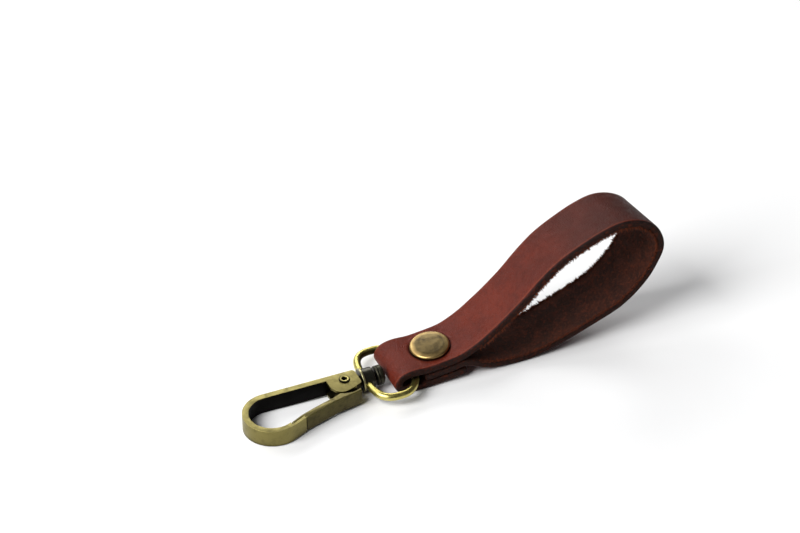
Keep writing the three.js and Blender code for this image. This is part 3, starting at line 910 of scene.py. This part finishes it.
def radial_points(mesh, *axes):
    """The points, and how far each is out across the two given axes."""
    points = coordinates(mesh)
    return points, np.hypot(points[:, axes[0]], points[:, axes[1]])


def uneven(mesh, amount, scale):
    """Small hand-finished unevenness, so that highlights wander a little."""
    normals = vertex_normals(mesh)
    points = coordinates(mesh)
    for i, vertex in enumerate(mesh.vertices):
        lift = amount * noise.noise(Vector(points[i]) * scale)
        vertex.co = Vector(points[i] + normals[i] * lift)


def rivet_cap(material):
    under = STACK - CAP_SINK + SEAT
    top = under + CAP_HEIGHT
    r = CAP_RADIUS
    outline = filleted([
        (POST_RADIUS + BORE, TUBE_FOOT, 0),
        (TUBE_RADIUS, TUBE_FOOT, 0.1),
        (TUBE_RADIUS, under, 0.1),
        (r - 0.55, under, 0.15),
        (r, under + 0.35, 0.45),
        (r - 0.02, top - 0.55, 0.72),
        (r - 1.5, top - 0.2, 1.2),
    ], closed=False)
    dome = [Vector((s * (r - 1.5), top - 0.2 * s ** 2)) for s in np.linspace(1, 0, 14)[1:]]
    inner = [Vector((0, SOCKET_TOP)), Vector((POST_RADIUS + BORE, SOCKET_TOP))]
    mesh = lathe_mesh("rivet_cap_fine", [tuple(p) for p in [*outline[:-1], *dome, *inner, outline[0]]], 144)
    uneven(mesh, 0.05, 0.55)
    points, radial = radial_points(mesh, 0, 1)
    # Painted highlight round the cap's rim, and painted shade on the cap's foot where it sits in the
    # leather.
    edge = smoothstep(r - 1.1, r - 0.35, radial) * smoothstep(under + 0.5, under + 1.2, points[:, 2])
    painted_shade = 0.9 * (1 - smoothstep(under + 0.1, under + 0.55, points[:, 2]))
    shade_metal(mesh, painted_shade, edge)
    smooth(mesh, 50)
    return place_mesh(mesh, rivet_frame, material, "strap", "rivet_brass", "rivet_cap")


def rivet_post(material):
    top = BASE_SINK - SEAT
    bottom = top - BASE_HEIGHT
    r = BASE_RADIUS
    post_top = SOCKET_TOP - GAP
    outline = filleted([
        (0, bottom, 0),
        (r - 0.3, bottom + 0.02, 1.6),
        (r, bottom + 0.5, 0.3),
        (r, top, 0.25),
        (POST_RADIUS, top, 0.1),
        (POST_RADIUS, post_top, 0.25),
        (0, post_top, 0),
    ], closed=False)
    mesh = lathe_mesh("rivet_base_fine", [tuple(p) for p in outline], 128)
    points, radial = radial_points(mesh, 0, 1)
    # Painted highlight round the base's rim, and painted shade towards its top, under the strap.
    edge = smoothstep(r - 1.0, r - 0.4, radial) * (points[:, 2] < bottom + 0.5)
    painted_shade = smoothstep(bottom + 0.5, top, points[:, 2])
    shade_metal(mesh, painted_shade, edge)
    smooth(mesh, 50)
    return place_mesh(mesh, rivet_frame, material, "strap", "rivet_brass", "rivet_post")


EYE_CENTRE_X = ARC_DEPTH / 2 - EYE_HALF_DEPTH
BAR_X = EYE_CENTRE_X - EYE_HALF_DEPTH
BOSS_BACK = BAR_X - BOSS_OVERHANG
BOSS_FRONT = BOSS_BACK + BOSS_LENGTH
FLANGE_BACK = BOSS_BACK - FLANGE_LENGTH
HOOK_ORIGIN = FLANGE_BACK - HOOK_TO_EYE


def eye_point(turn):
    cos, sin = math.cos(turn), math.sin(turn)
    power = 2 / (EYE_BAR_SQUARENESS if cos < 0 else EYE_ARC_SQUARENESS)
    return Vector((EYE_CENTRE_X + EYE_HALF_DEPTH * math.copysign(abs(cos) ** power, cos),
                   EYE_HALF_WIDTH * math.copysign(abs(sin) ** power, sin), 0))


def eye_ring(material):
    """The eye's wire, from one side of the boss round the arc to the other."""
    turns = np.linspace(-math.pi, math.pi, 4001)
    path = [eye_point(t) for t in turns]
    buried = BOSS_RADIUS - 0.9
    path = [p for p in path if p.x > BAR_X + 1.5 or abs(p.y) > buried]
    spaced = [path[0]]
    for p in path:
        if (p - spaced[-1]).length > 0.22:
            spaced.append(p)
    mesh = tube_mesh("swivel_eye_ring", spaced, EYE_WIRE / 2, 28)
    uneven(mesh, 0.03, 0.6)
    points = coordinates(mesh)
    centre = np.array([EYE_CENTRE_X, 0, 0])
    outward = points - centre
    outward /= np.linalg.norm(outward, axis=1)[:, None]
    facing = np.einsum("ij,ij->i", vertex_normals(mesh), outward)
    # The ring's inner side, facing the eye's middle, gets painted shade. Its outer side gets a painted
    # highlight and thinner patina.
    painted_shade = 0.9 * smoothstep(-0.1, -0.75, facing)
    shade_metal(mesh, painted_shade, smoothstep(0.2, 0.9, facing) * 0.4)
    mesh.shade_smooth()
    return place_mesh(mesh, eye_frame, material, "eye", "eye_brass", "swivel_eye")


def eye_boss(material):
    """The eye's barrel: a bored boss with a thin flange towards the hook."""
    bore = PIN_RADIUS + BORE
    outline = filleted([
        (bore, FLANGE_BACK, 0.12),
        (FLANGE_RADIUS, FLANGE_BACK, 0.2),
        (FLANGE_RADIUS, BOSS_BACK, 0.16),
        (BOSS_RADIUS, BOSS_BACK + 0.12, 0.12),
        (BOSS_RADIUS, BOSS_FRONT, 0.35),
        (bore, BOSS_FRONT, 0.15),
    ])
    mesh = lathe_mesh("swivel_eye_boss", [tuple(p) for p in outline], 96, closed=True)
    mesh.transform(ALONG_X)
    points, radial = radial_points(mesh, 1, 2)
    # Painted highlight on the flange's rim and the boss's front edge. Painted shade round the bore.
    edge = smoothstep(BOSS_RADIUS + 0.15, FLANGE_RADIUS - 0.05, radial)
    front = smoothstep(BOSS_FRONT - 0.25, BOSS_FRONT, points[:, 0]) * smoothstep(2.2, 3.0, radial)
    painted_shade = 1 - smoothstep(bore, bore + 0.5, radial)
    shade_metal(mesh, painted_shade, np.maximum(edge, 0.35 * front))
    smooth(mesh, 50)
    return place_mesh(mesh, eye_frame, material, "eye", "eye_brass", "swivel_eye")


def swivel_pin(material):
    back = BOSS_FRONT - HOOK_ORIGIN + KNOB_NECK
    front = back + KNOB_LENGTH
    r = KNOB_RADIUS
    outline = filleted([
        (0, -PIN_GRIP, 0),
        (PIN_RADIUS, -PIN_GRIP, 0.2),
        (PIN_RADIUS, back, 0.12),
        (r, back, 0.3),
        (r, back + 0.62, 0.06),
        (r - 0.16, back + 0.7, 0.06),
        (r - 0.16, back + 0.86, 0.06),
        (r, back + 0.94, 0.06),
        (r, front - 0.55, 0.5),
        (r - 1.1, front, 0.7),
        (0, front, 0),
    ], closed=False)
    mesh = lathe_mesh("swivel_pin_fine", [tuple(p) for p in outline], 96)
    mesh.transform(ALONG_X)
    points, radial = radial_points(mesh, 1, 2)
    # Painted shade in the knob's groove and on the pin's shank. The whole knob is also darkened by half. A
    # faint painted highlight goes on the knob's rim.
    groove = (np.abs(points[:, 0] - back - 0.78) < 0.14) & (radial > 2)
    painted_shade = np.maximum(groove * 1.0, 0.7 * (radial < PIN_RADIUS + 0.05))
    edge = 0.12 * smoothstep(r - 0.25, r, radial) * (1 - groove)
    shade_metal(mesh, np.maximum(painted_shade, 0.5 * (radial > 2)), edge)
    smooth(mesh, 50)
    return place_mesh(mesh, hook_frame, material, "hook", "dark_metal", "swivel_pin")


BOW_CENTRE = Vector((-HOOK_LENGTH + BOW_RADIUS, BOW_OFFSET))
INNER_RADIUS = BOW_RADIUS - BAND
SPINE_TANGENT = 90 - math.degrees(SPINE_FLARE)
NOSE_START = math.degrees(NOSE_ANGLE) - 90
EAR_RADIUS = -PIVOT.x - END_BLOCK - GAP
INNER_WALL_Y = PIVOT.y + EAR_RADIUS + GAP
CHEEK_EDGE_X = PIVOT.x - CHEEK_REACH
SLOT_HALF = HOOK_HALF - CHEEK


def spine_outer(x):
    top = BOW_CENTRE.y + BOW_RADIUS / math.cos(SPINE_FLARE)
    return top - math.tan(SPINE_FLARE) * (x - BOW_CENTRE.x)


def on_nose(distance, inwards):
    """A place on the bow's straight end: along it, and inwards from the band's inner face."""
    start = arc(BOW_CENTRE, INNER_RADIUS, NOSE_START, NOSE_START, 1)[0]
    cos, sin = math.cos(NOSE_ANGLE), math.sin(NOSE_ANGLE)
    return Vector((start.x + cos * distance - sin * inwards, start.y + sin * distance + cos * inwards))


def hook_outline():
    inner = spine_outer(CHEEK_EDGE_X) - BAND / math.cos(SPINE_FLARE)
    nose = [on_nose(NOSE_LENGTH, -BAND), on_nose(NOSE_LENGTH, -NOSE_REBATE)]
    return [
        Vector((-END_BLOCK / 2, spine_outer(-END_BLOCK / 2))),
        *arc(BOW_CENTRE, BOW_RADIUS, SPINE_TANGENT, 360 + NOSE_START, 72),
        *nose,
        on_nose(0.3, -NOSE_REBATE),
        on_nose(0.3, 0),
        *arc(BOW_CENTRE, INNER_RADIUS, 360 + NOSE_START, SPINE_TANGENT, 66),
        Vector((CHEEK_EDGE_X, inner)),
        Vector((-END_BLOCK / 2, inner)),
    ]


def about_pivot(x, y, radius=0.0):
    return (PIVOT.x + x, PIVOT.y + y, radius)


def cheek_outline():
    return filleted([
        (-0.7, spine_outer(-0.7), 0.0),
        (CHEEK_EDGE_X - 0.3, spine_outer(CHEEK_EDGE_X - 0.3), 0.0),
        (CHEEK_EDGE_X - 0.05, 1.0, 0.0),
        about_pivot(-CHEEK_REACH, -2.0, 0.8),
        about_pivot(-4.55, -3.7, 1.2),
        about_pivot(-3.2, -5.0, 1.2),
        about_pivot(-1.8, -5.4, 1.0),
        about_pivot(0.4, -4.9, 1.5),
        about_pivot(2.3, -4.2, 1.5),
        (-0.25, PIVOT.y - 3.4, 0.5),
        (0, PIVOT.y - 2.7, 0.4),
        (0, 1.9, 0.6),
    ])


SHARP_EDGE = math.radians(32)


def sharp_edges_weighted(mesh, weight_of):
    """Marks each sharp edge with the bevel weight that its middle asks for."""
    bm = bmesh.new()
    bm.from_mesh(mesh)
    bmesh.ops.remove_doubles(bm, verts=bm.verts, dist=0.004)
    bmesh.ops.dissolve_limit(bm, angle_limit=math.radians(0.6), verts=bm.verts, edges=bm.edges)
    layer = bm.edges.layers.float.new("bevel_weight_edge")
    for edge in bm.edges:
        if len(edge.link_faces) == 2 and edge.calc_face_angle(0) > SHARP_EDGE:
            edge[layer] = weight_of((edge.verts[0].co + edge.verts[1].co) / 2)
    bm.to_mesh(mesh)
    bm.free()


def bevelled(piece, widest, segments=4):
    modifier = piece.modifiers.new("bevel", "BEVEL")
    modifier.limit_method = "WEIGHT"
    modifier.width = widest
    modifier.segments = segments
    modifier.use_clamp_overlap = True
    modifier.loop_slide = True
    modifier.harden_normals = False
    return baked(piece)


def faces_of(mesh):
    """Middle and normal of each face."""
    middles = np.array([tuple(p.center) for p in mesh.polygons])
    normals = np.array([tuple(p.normal) for p in mesh.polygons])
    return middles, normals


def shade_faces(mesh, painted_shade):
    """Painted shade by face from the given mask, and an edge mask on the rounded rims between flats and
    walls, where the patina is worn and a highlight is painted.
    """
    tilt = np.abs(faces_of(mesh)[1][:, 2])
    rim = ((tilt > 0.12) & (tilt < 0.97)).astype(float)
    set_attribute(mesh, "painted_shade", painted_shade, "FACE")
    set_attribute(mesh, "edge", rim * (1 - painted_shade), "FACE")


def hook_body(material):
    piece = prism("hook_body_fine", hook_outline(), -HOOK_HALF, HOOK_HALF)
    boolean(piece, prism("cheeks", cheek_outline(), -HOOK_HALF, HOOK_HALF), "UNION")
    slot = [Vector(p) for p in ((CHEEK_EDGE_X - 0.2, -9), (-END_BLOCK, -9), (-END_BLOCK, INNER_WALL_Y),
                                (CHEEK_EDGE_X - 0.2, INNER_WALL_Y))]
    boolean(piece, prism("slot", slot, -SLOT_HALF, SLOT_HALF), "DIFFERENCE")
    hole = arc(PIVOT, EYELET_RADIUS + BORE, 0, 352.5, 47)
    boolean(piece, prism("eyelet_hole", hole, -HOOK_HALF - 1, HOOK_HALF + 1), "DIFFERENCE")
    radius = PIN_RADIUS + BORE
    bottom = -END_BLOCK - 1
    pin_hole = lathe_mesh("pin_hole", [(0, bottom), (radius, bottom), (radius, 1), (0, 1)], 48)
    pin_hole.transform(ALONG_X)
    boolean(piece, add_object("pin_hole", pin_hole), "DIFFERENCE")

    def weight(middle):
        flat = Vector((middle.x, middle.y))
        if (flat - PIVOT).length < EYELET_RADIUS + 0.3 or abs(middle.z) < SLOT_HALF + 0.05:
            return 0.0
        if middle.x < CHEEK_EDGE_X + 0.5:
            reach = (flat - BOW_CENTRE).length if flat.x < BOW_CENTRE.x else 0
            outer = reach > BOW_RADIUS - 0.3 or abs(flat.y - spine_outer(flat.x)) < 0.3
            nose = flat.x > BOW_CENTRE.x and flat.y < BOW_CENTRE.y - 3
            lower = nose and (flat - on_nose(0, -BAND)).dot(on_nose(1, 0) - on_nose(0, 0)) > -0.2
            outer = outer or (lower and on_nose_inwards(flat) < -BAND + 0.3)
            on_end = nose and (flat - on_nose(0.1, 0)).dot(on_nose(1, 0) - on_nose(0, 0)) > 0
            if on_end:
                return 0.5 if outer else 0.1
            return 1.0 if outer else 0.22
        return 0.25 if middle.y < 2.0 else 0.5

    sharp_edges_weighted(piece.data, weight)
    # The overlap limit in bevelled() holds these rims to far less than the width given here.
    bevelled(piece, 1.2, 6)
    mesh = piece.data
    # Painted shade on the bow's and spine's inner walls and inside the slot, and a painted highlight on the
    # rounded rims.
    points, normals = faces_of(mesh)
    to_centre = np.array([BOW_CENTRE.x, BOW_CENTRE.y]) - points[:, :2]
    distance = np.linalg.norm(to_centre, axis=1)
    inward = np.where((points[:, 0] < BOW_CENTRE.x)[:, None], to_centre / distance[:, None], [0, -1])
    facing = np.einsum("ij,ij->i", normals[:, :2], inward)
    inner_bow = (distance < INNER_RADIUS + 0.35) & (facing > 0)
    inner_spine = (points[:, 0] > BOW_CENTRE.x) & (points[:, 1] > -2)
    inner_spine = inner_spine & (points[:, 1] < spine_outer(points[:, 0]) - 1.3)
    painted_shade = np.where(inner_bow | (inner_spine & (points[:, 0] < CHEEK_EDGE_X + 0.3)),
                      smoothstep(0.55, 0.9, facing), 0)
    inside_slot = (np.abs(points[:, 2]) < SLOT_HALF + 0.05) & (points[:, 0] > CHEEK_EDGE_X + 0.4) & (
        points[:, 0] < -0.1)
    painted_shade = np.maximum(painted_shade, inside_slot * 0.9)
    shade_faces(mesh, painted_shade)
    smooth(mesh, 38)
    return finish_piece(piece, hook_frame, material, "hook", "hook_brass", "hook_body")


def on_nose_inwards(flat):
    """How far a place is inwards of the band's inner face, measured square to the nose."""
    start = on_nose(0, 0)
    across = on_nose(0, 1) - start
    return (flat - start).dot(across)


def bowed(first, last, swell, steps):
    side = Vector((-(last - first).y, (last - first).x)).normalized()
    shares = [i / steps for i in range(steps + 1)]
    return [first.lerp(last, s) + side * 4 * swell * s * (1 - s) for s in shares]


def near_pivot(*places):
    return [PIVOT + Vector(place) for place in places]


def gate(material):
    """A full-height bar whose outer web wraps the cheeks, with two ears inside them."""
    ear_outer = SLOT_HALF - GAP
    ear_inner = ear_outer - EAR_THICKNESS
    inner_end, outer_end = near_pivot((GATE_STEP, -6.1), (GATE_STEP, -8.1))
    bar = [
        on_nose(0.9, 0),
        *bowed(on_nose(NOSE_LENGTH + 0.2, 0.1), inner_end, 0.15, 14),
        *arc(PIVOT, SWEEP_RADIUS, 236, 298, 24),
        *near_pivot((3.1, -6.2), (3.02, -6.45), (2.8, -6.6)),
        outer_end,
        on_nose(NOSE_LENGTH + GAP, -BAND),
        on_nose(NOSE_LENGTH + GAP, -NOSE_REBATE + GAP),
        on_nose(0.9, -NOSE_REBATE + GAP),
    ]
    piece = prism("gate_fine", bar, -GATE_HALF, GATE_HALF)
    tail = [
        *arc(PIVOT, EAR_RADIUS, 0, 195, 40),
        *near_pivot((GATE_STEP - 0.6, -6.4), (GATE_STEP - 0.6, -7.2), (EAR_RADIUS, -6.35)),
    ]
    hollow = near_pivot((GATE_STEP + 0.2, -6.0), (-4.4, -6.3), (EAR_RADIUS + 1, -6.1),
                        (EAR_RADIUS + 1, EAR_RADIUS + 1), (-3.6, EAR_RADIUS + 1))
    tail_piece = prism("tail", tail, -ear_outer, ear_outer)
    boolean(tail_piece, prism("hollow", hollow, -ear_inner, ear_inner), "DIFFERENCE")
    boolean(piece, tail_piece, "UNION")
    hole = arc(PIVOT, EYELET_RADIUS + BORE, 0, 352.5, 47)
    boolean(piece, prism("hole", hole, -HOOK_HALF, HOOK_HALF), "DIFFERENCE")

    def weight(middle):
        if abs(middle.z) > GATE_HALF - 0.05:
            return 1.0
        return 0.25 if abs(middle.z) > ear_outer - 0.05 else 0.0

    sharp_edges_weighted(piece.data, weight)
    bevelled(piece, 0.5)
    mesh = piece.data
    # Painted shade on the inner faces, the ears and the undersides, and a painted highlight on the rounded
    # rims.
    points, normals = faces_of(mesh)
    inside = smoothstep(0.5, 0.9, normals[:, 1]) * (points[:, 1] < -3)
    from_pivot = np.linalg.norm(points[:, :2] - np.array(PIVOT), axis=1)
    ears = (from_pivot < SWEEP_RADIUS + 0.1) & (points[:, 0] > PIVOT.x + GATE_STEP)
    under = smoothstep(-0.35, -0.9, normals[:, 1])
    painted_shade = np.maximum(inside * 0.85, ears * (1 - under) * 0.8)
    painted_shade = np.maximum(painted_shade, under * 0.35)
    shade_faces(mesh, painted_shade)
    smooth(mesh, 38)
    return finish_piece(piece, hook_frame, material, "gate", "gate_brass", "gate")


def gate_pivot(material):
    """A tubular rivet with a rolled flange at each end."""
    seat = HOOK_HALF + SEAT
    end = seat + EYELET_FLANGE_HEIGHT
    inner = EYELET_RADIUS - EYELET_WALL
    outer = EYELET_RADIUS + EYELET_FLANGE
    upper = [(EYELET_RADIUS, seat, 0.05), (outer, seat, 0.08), (outer, end, 0.22), (inner, end, 0.2)]
    lower = [(x, -y, radius) for x, y, radius in upper[::-1]]
    mesh = lathe_mesh("gate_eyelet_fine", [tuple(p) for p in filleted([*upper, *lower])], 72, closed=True)
    points, radial = radial_points(mesh, 0, 1)
    # Painted shade in the bore and as a dark ring round the flange's outer edge, and a painted highlight on
    # the lips.
    lip = smoothstep(seat + 0.1, end, np.abs(points[:, 2]))
    painted_shade = np.where(radial < inner + 0.08, 1, 0) * (1 - lip)
    painted_shade = np.maximum(painted_shade, smoothstep(outer - 0.3, outer - 0.12, radial))
    shade_metal(mesh, painted_shade, lip * (1 - smoothstep(outer - 0.4, outer - 0.25, radial)))
    mesh.transform(Matrix.Translation((PIVOT.x, PIVOT.y, 0)))
    smooth(mesh, 50)
    return place_mesh(mesh, hook_frame, material, "hook", "hook_brass", "gate_pivot")


def spring_points(first, last, steps):
    """Points of the torsion spring, from one share of its length to another."""
    coil = EYELET_RADIUS + BORE + SPRING_WIRE / 2
    half = SLOT_HALF - GAP - EAR_THICKNESS - SPRING_WIRE / 2 - 0.2
    leg_share, gate_leg_length, wall_leg_length = 0.12, 5.2, 4.2
    gate_leg, wall_leg = -35, 85
    points = []
    for t in np.linspace(first, last, steps):
        turn = min(1, max(0, (t - leg_share) / (1 - 2 * leg_share)))
        angle = math.radians(gate_leg + turn * (SPRING_TURNS * 360 + wall_leg - gate_leg))
        past = (max(0, t - (1 - leg_share)) * wall_leg_length
                - max(0, leg_share - t) * gate_leg_length) / leg_share
        points.append(Vector((PIVOT.x + coil * math.cos(angle) - past * math.sin(angle),
                              PIVOT.y + coil * math.sin(angle) + past * math.cos(angle),
                              -half + 2 * half * turn)))
    return points


def gate_spring(material):
    """The coil stays with the hook. The leg that bears on the gate, with a sixth of a turn, follows it."""
    coil = tube_mesh("gate_spring_coil", spring_points(0.12, 1, 260), SPRING_WIRE / 2, 12)
    leg = tube_mesh("gate_spring_leg", spring_points(0, 0.16, 50), SPRING_WIRE / 2, 12)
    for mesh, body in ((coil, "hook"), (leg, "gate")):
        shade_metal(mesh)
        mesh.shade_smooth()
        place_mesh(mesh, hook_frame, material, body, "spring_steel", "gate_spring")


# ---------------------------------------------------------------- stage, lights and camera


def pale_floor():
    size = 3.0
    corners = [(-size, -size, 0), (size, -size, 0), (size, size, 0), (-size, size, 0)]
    mesh = raw_mesh("floor", corners, [(0, 1, 2, 3)])
    n = Nodes("pale_floor")
    n.set(Base_Color=(0.85, 0.85, 0.85, 1), Roughness=0.7, Specular_IOR_Level=0.2)
    mesh.materials.append(n.material)
    floor = add_object("floor", mesh)
    floor.location.z = -0.00002


def soft_light(name, direction, distance, size, watts):
    target = Vector((0, 0, 0.015))
    light = bpy.data.lights.new(name, "AREA")
    light.shape = "RECTANGLE"
    light.size, light.size_y = size
    light.energy = watts
    lamp = bpy.data.objects.new(name, light)
    bpy.context.scene.collection.objects.link(lamp)
    lamp.location = target + Vector(direction).normalized() * distance
    lamp.rotation_mode = "QUATERNION"
    lamp.rotation_quaternion = (target - lamp.location).to_track_quat("-Z", "Y")


def studio():
    soft_light("key", (-0.73, -0.16, 0.68), 1.6, (1.0, 1.0), 38)
    soft_light("back", (0.10, 0.84, 0.50), 1.6, (1.0, 0.7), 12)
    soft_light("left", (-0.42, 0.62, 0.66), 1.6, (0.8, 0.8), 7)
    world = bpy.data.worlds.new("pale_studio")
    world.use_nodes = True
    background = world.node_tree.nodes["Background"]
    background.inputs["Color"].default_value = (0.93, 0.96, 1.0, 1)
    background.inputs["Strength"].default_value = 0.06
    bpy.context.scene.world = world
    bpy.context.scene.view_settings.view_transform = "Standard"


def camera():
    """A long lens, 23.7 degrees round from the strap's side and 38.5 degrees above it."""
    azimuth, elevation = math.radians(-23.7), math.radians(38.5)
    back = Vector((math.sin(azimuth) * math.cos(elevation), -math.cos(azimuth) * math.cos(elevation),
                   math.sin(elevation)))
    right = Vector((math.cos(azimuth), math.sin(azimuth), 0))
    distance = 2.4
    frame_width = 0.2453
    shift_right, shift_up = -0.01475, 0.03109
    aim = right * shift_right + back.cross(right) * shift_up
    data = bpy.data.cameras.new("camera")
    data.sensor_width = 36
    data.lens = data.sensor_width * distance / frame_width
    data.clip_start, data.clip_end = 0.05, 40
    eye = bpy.data.objects.new("camera", data)
    bpy.context.scene.collection.objects.link(eye)
    eye.location = aim + back * distance
    eye.rotation_mode = "QUATERNION"
    eye.rotation_quaternion = (-back).to_track_quat("-Z", "Y")
    bpy.context.scene.camera = eye


# ---------------------------------------------------------------- the keychain

camera()
studio()
pale_floor()

strip_stations, strip, strip_inward = leather_strap([grain_material(), edge_material(), flesh_material()])
leather_fuzz(strip_stations, strip, strip_inward, fuzz_material())

rivet_brass = rivet_material()
rivet_cap(rivet_brass)
rivet_post(rivet_brass)

dark_metal = dark_material()
eye_ring(eye_material())
eye_boss(dark_metal)
swivel_pin(dark_metal)

hook_brass = hook_material()
hook_body(hook_brass)
gate_pivot(hook_brass)
gate(gate_material())
gate_spring(spring_material())
